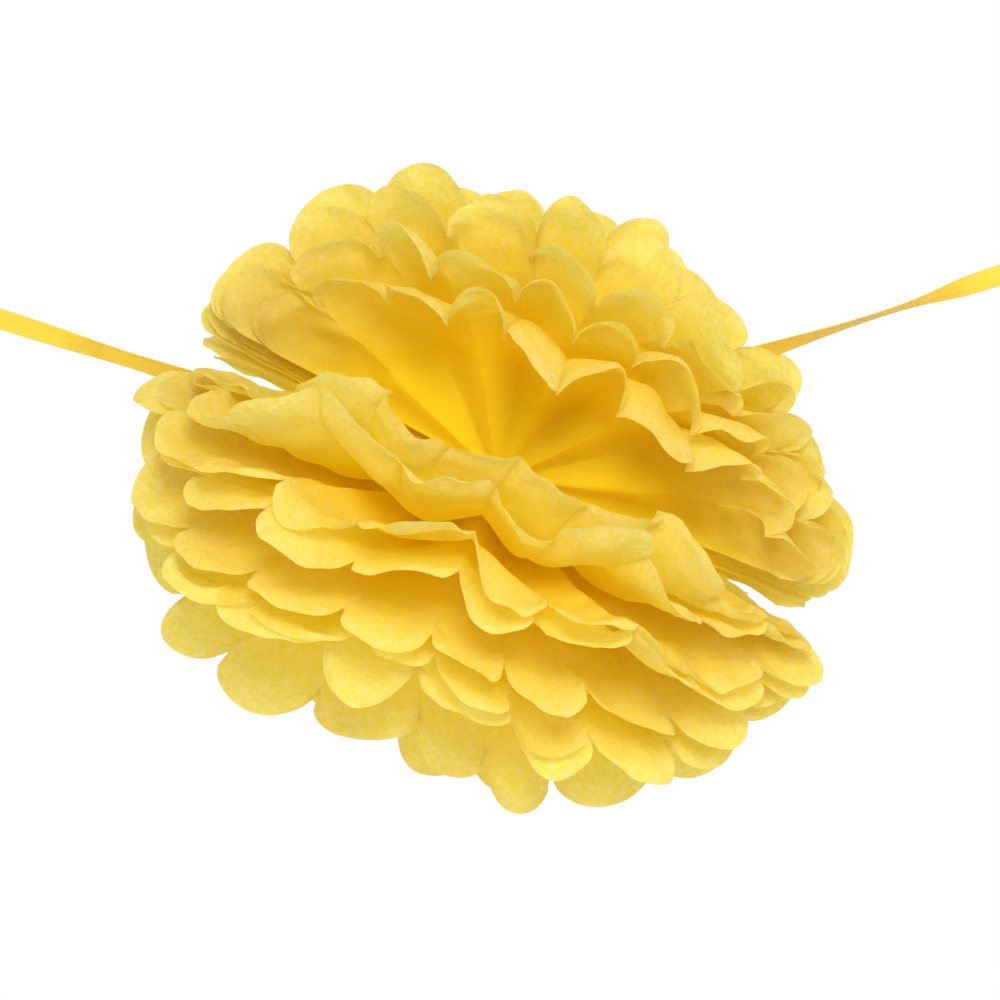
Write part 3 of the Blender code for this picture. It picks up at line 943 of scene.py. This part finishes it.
def helix_round(centre, side, up, along, half_side, half_up, corner, turns, pitch, per_turn=32):
    """Points of a helix with rounded corners round a flat bundle, advancing along the bundle."""
    points = []
    total = turns * per_turn
    for step in range(total + 1):
        angle = 2 * math.pi * step / per_turn
        c, s = math.cos(angle), math.sin(angle)
        # A superellipse gives the flat sides and the rounded corners.
        power = 0.35
        across = math.copysign(abs(c) ** power, c) * (half_side - corner) + c * corner
        above = math.copysign(abs(s) ** power, s) * (half_up - corner) + s * corner
        advance = (step / total - 0.5) * turns * pitch
        points.append(centre + across * side + above * up + advance * along)
    return points


def put(name, mesh, finish, node_name):
    """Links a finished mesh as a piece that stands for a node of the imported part."""
    made = bpy.data.objects.new(name, mesh)
    bpy.context.scene.collection.objects.link(made)
    made.data.materials.clear()
    made.data.materials.append(finish)
    claim(made, node_name)
    return made


def claim(piece, node_name):
    """Rides a piece on the body, in a node's place."""
    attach(piece, "root")
    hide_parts(node_name)


class POMPOM_OT_ribbon(bpy.types.Operator):
    """Make the ribbon that carries the pom pom, and the windings that close its end loops"""

    bl_idname = "pompom.ribbon"
    bl_label = "Ribbon"

    def execute(self, context):
        settings = context.scene.pompom_ribbon
        stops, seams = ribbon_stops()
        route = smooth_route(stops, 12)
        mesh, length = ribbon_mesh(route)
        finish = woven_ribbon("woven_satin_ribbon", settings.colour)
        ribbon = put("satin_ribbon", mesh, finish, "ribbon")
        thread = spun_thread("spun_sewing_thread", settings.colour)
        for name, (end, outward, upright) in zip(("left", "right"), seams):
            side = outward.cross(upright).normalized()
            apart = RIBBON_THICK + SHEET_GAP
            half_up = RIBBON_WIDTH / 2 + SHEET_GAP + THREAD_RADIUS
            half_side = apart / 2 + RIBBON_THICK / 2 + SHEET_GAP + THREAD_RADIUS
            points = helix_round(
                end + apart / 2 * side,
                side,
                upright,
                outward,
                half_side,
                half_up,
                0.6 * half_side,
                settings.turns,
                TURN_PITCH * THREAD_RADIUS,
            )
            winding = wound(f"{name}_loop_winding", points, THREAD_RADIUS, thread)
            claim(winding, f"{name}_loop_thread")
        return {"FINISHED"}


class POMPOM_OT_wire(bpy.types.Operator):
    """Make the wire that is wound round the waist of the stack and twisted off"""

    bl_idname = "pompom.wire"
    bl_label = "Waist wire"

    def execute(self, context):
        settings = context.scene.pompom_ribbon
        legs = WAIST_WIDTH / 2 + WIRE_GAP + WIRE_RADIUS
        height = STACK_HALF + WIRE_GAP + WIRE_RADIUS
        side, up = TURN @ Vector((1, 0, 0)), TURN @ Vector((0, 0, 1))
        along = TURN @ Vector((0, 1, 0))
        radius = 0.9 * WIRE_RADIUS
        pitch = TURN_PITCH * radius
        points = helix_round(Vector(), side, up, along, legs, height, 0.4 * height, 2, pitch)
        finish = coated_wire("coated_florist_wire", settings.wire_colour)
        claim(wound("waist_wire_winding", points, radius, finish, 12), "waist_wire")
        return {"FINISHED"}


class POMPOM_OT_sheets(bpy.types.Operator):
    """Pleat, tie and spread the tissue sheets"""

    bl_idname = "pompom.sheets"
    bl_label = "Tissue sheets"

    def execute(self, context):
        settings = context.scene.pompom_tissue
        paper = dyed_tissue(settings)
        for sheet in range(SHEETS):
            name = f"{sheet + 1:02d}"
            put(f"paper_sheet_{name}", fine_sheet(sheet, settings), paper, f"tissue_sheet_{name}")
        return {"FINISHED"}


class POMPOM_OT_camera(bpy.types.Operator):
    """Set the camera at the photograph's viewing angle"""

    bl_idname = "pompom.camera"
    bl_label = "Camera"

    def execute(self, context):
        lens = bpy.data.cameras.new("photo_camera")
        lens.sensor_width = SENSOR_WIDTH
        lens.lens = lens.sensor_width * CAMERA_DISTANCE / (PHOTO_SIDE * PHOTO_SCALE)
        camera = bpy.data.objects.new("photo_camera", lens)
        middle = PHOTO_SIDE / 2
        right = (middle - WAIST_PIXEL[0]) * PHOTO_SCALE
        up = (WAIST_PIXEL[1] - middle) * PHOTO_SCALE
        camera.location = (right, -CAMERA_DISTANCE, up)
        camera.rotation_euler = (math.pi / 2, 0.0, 0.0)
        context.scene.collection.objects.link(camera)
        context.scene.camera = camera
        return {"FINISHED"}


class POMPOM_OT_stage(bpy.types.Operator):
    """Make the floor, the lamps and the white background"""

    bl_idname = "pompom.stage"
    bl_label = "Stage"

    def execute(self, context):
        settings = context.scene.pompom_stage
        context.scene.view_settings.view_transform = "Standard"
        self.world(context, settings)
        self.floor(context, settings)
        for name, (place, size, power) in LAMPS.items():
            self.lamp(context, name, place, size, getattr(settings, power))
        return {"FINISHED"}

    def world(self, context, settings):
        """Even white light all round, and a pure white background for the camera.

        No glass or bare metal has to show that white, and the thin paper would be lit by it.
        """
        world = bpy.data.worlds.new("white_studio")
        context.scene.world = world
        world.use_nodes = True
        tree = world.node_tree
        tree.nodes.clear()
        path = node(tree, "ShaderNodeLightPath")
        seen = node(tree, "ShaderNodeBackground", Strength=1.0)
        lit = node(tree, "ShaderNodeBackground", Strength=settings.world_strength)
        seen.inputs["Color"].default_value = WHITE
        lit.inputs["Color"].default_value = WHITE
        both = node(
            tree,
            "ShaderNodeMixShader",
            {
                0: path.outputs["Is Camera Ray"],
                1: lit.outputs["Background"],
                2: seen.outputs["Background"],
            },
        )
        node(tree, "ShaderNodeOutputWorld", {"Surface": both.outputs["Shader"]})

    def floor(self, context, settings):
        """A plain floor below the pom pom."""
        mesh = bpy.data.meshes.new("studio_floor")
        corners = [(x * FLOOR_HALF, y * FLOOR_HALF, FLOOR_HEIGHT) for x, y in SQUARE]
        mesh.from_pydata(corners, [], [(0, 1, 2, 3)])
        made, tree = new_material("plain_pale_floor")
        place = node(tree, "ShaderNodeTexCoord")
        grain = node(tree, "ShaderNodeTexNoise", {"Vector": place.outputs["Object"]}, Scale=40.0)
        bump = node(
            tree, "ShaderNodeBump", {"Height": grain.outputs["Fac"]}, Strength=0.05, Distance=0.001
        )
        paint = node(
            tree,
            "ShaderNodeBsdfPrincipled",
            {"Normal": bump.outputs["Normal"]},
            Base_Color=linear(settings.floor_colour),
            Roughness=0.85,
        )
        node(tree, "ShaderNodeOutputMaterial", {"Surface": paint.outputs["BSDF"]})
        mesh.materials.append(made)
        floor = bpy.data.objects.new("studio_floor", mesh)
        context.scene.collection.objects.link(floor)

    def lamp(self, context, name, place, size, power):
        """A round soft lamp that faces the waist."""
        light = bpy.data.lights.new(name, "AREA")
        light.shape = "DISK"
        light.size = size
        light.energy = power
        made = bpy.data.objects.new(name, light)
        made.location = place
        made.rotation_euler = (-Vector(place)).to_track_quat("-Z", "Y").to_euler()
        context.scene.collection.objects.link(made)


class POMPOM_PT_panel(bpy.types.Panel):
    """The pom pom's pieces and settings"""

    bl_label = "Pom Pom"
    bl_idname = "POMPOM_PT_panel"
    bl_space_type = "VIEW_3D"
    bl_region_type = "UI"
    bl_category = "Pom Pom"

    def draw(self, context):
        layout = self.layout
        for kind in OPERATORS:
            layout.operator(kind.bl_idname)
        for group in SETTINGS:
            settings = getattr(context.scene, group)
            box = layout.box()
            for name in settings.__annotations__:
                box.prop(settings, name)


SETTINGS = {"pompom_tissue": PomPomTissue, "pompom_ribbon": PomPomRibbon, "pompom_stage": PomPomStage}
OPERATORS = (POMPOM_OT_camera, POMPOM_OT_ribbon, POMPOM_OT_wire, POMPOM_OT_sheets, POMPOM_OT_stage)


def register():
    """Adds the classes and their settings."""
    for kind in (*SETTINGS.values(), *OPERATORS, POMPOM_PT_panel):
        bpy.utils.register_class(kind)
    for name, kind in SETTINGS.items():
        setattr(bpy.types.Scene, name, PointerProperty(type=kind))


def unregister():
    """Takes away the settings and the classes."""
    for name in SETTINGS:
        delattr(bpy.types.Scene, name)
    for kind in reversed((*SETTINGS.values(), *OPERATORS, POMPOM_PT_panel)):
        bpy.utils.unregister_class(kind)


def plain(box):
    """A box as plain lists of numbers."""
    return [[float(value) for value in corner] for corner in box]


def main():
    """Makes the whole scene."""
    register()
    bpy.ops.pompom.camera()
    bpy.ops.pompom.ribbon()
    bpy.ops.pompom.wire()
    bpy.ops.pompom.sheets()
    bpy.ops.pompom.stage()


if __name__ == "__main__":
    main()
